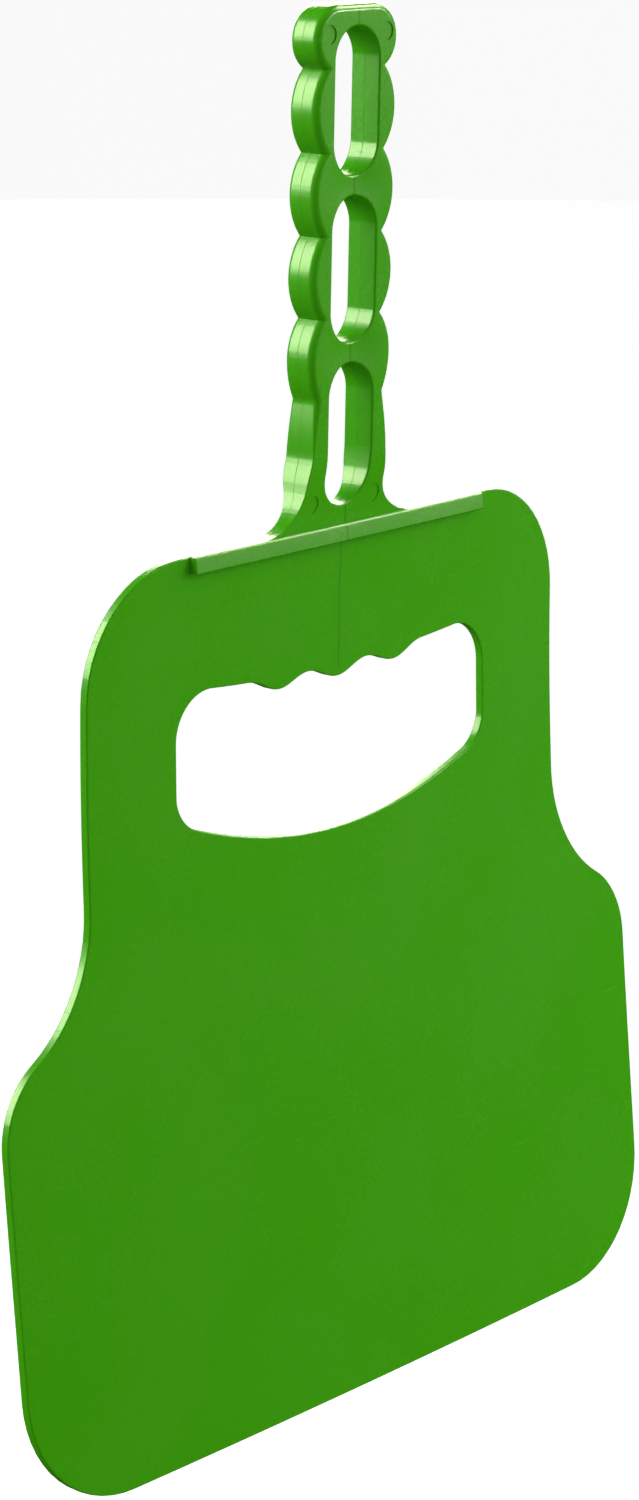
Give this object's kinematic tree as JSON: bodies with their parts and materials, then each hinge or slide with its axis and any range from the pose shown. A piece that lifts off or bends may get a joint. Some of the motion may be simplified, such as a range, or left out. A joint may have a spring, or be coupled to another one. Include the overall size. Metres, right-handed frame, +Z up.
{
  "type": "hand fan",
  "caption": "Rigid moulded plastic hand fan: a thin shouldered blade with a hand-hole, a stiffening rib and a slotted, scalloped handle.",
  "frame": {"origin": "the hanging point: the top of the uppermost handle slot, in the middle of the handle's thickness and width", "axes": "+Z up along the handle, +X to the right seen from the front, front (the side with the stiffening rib) towards -Y"},
  "size_m": [0.25, 0.0193, 0.3678],
  "materials": {
    "green_plastic": "semi-gloss, as it leaves a smooth mould"
  },
  "bodies": {
    "root": {"blade": "green_plastic", "top_rib": "green_plastic", "handle_neck": "green_plastic", "handle_grip": "green_plastic"}
  },
  "joints": []
}
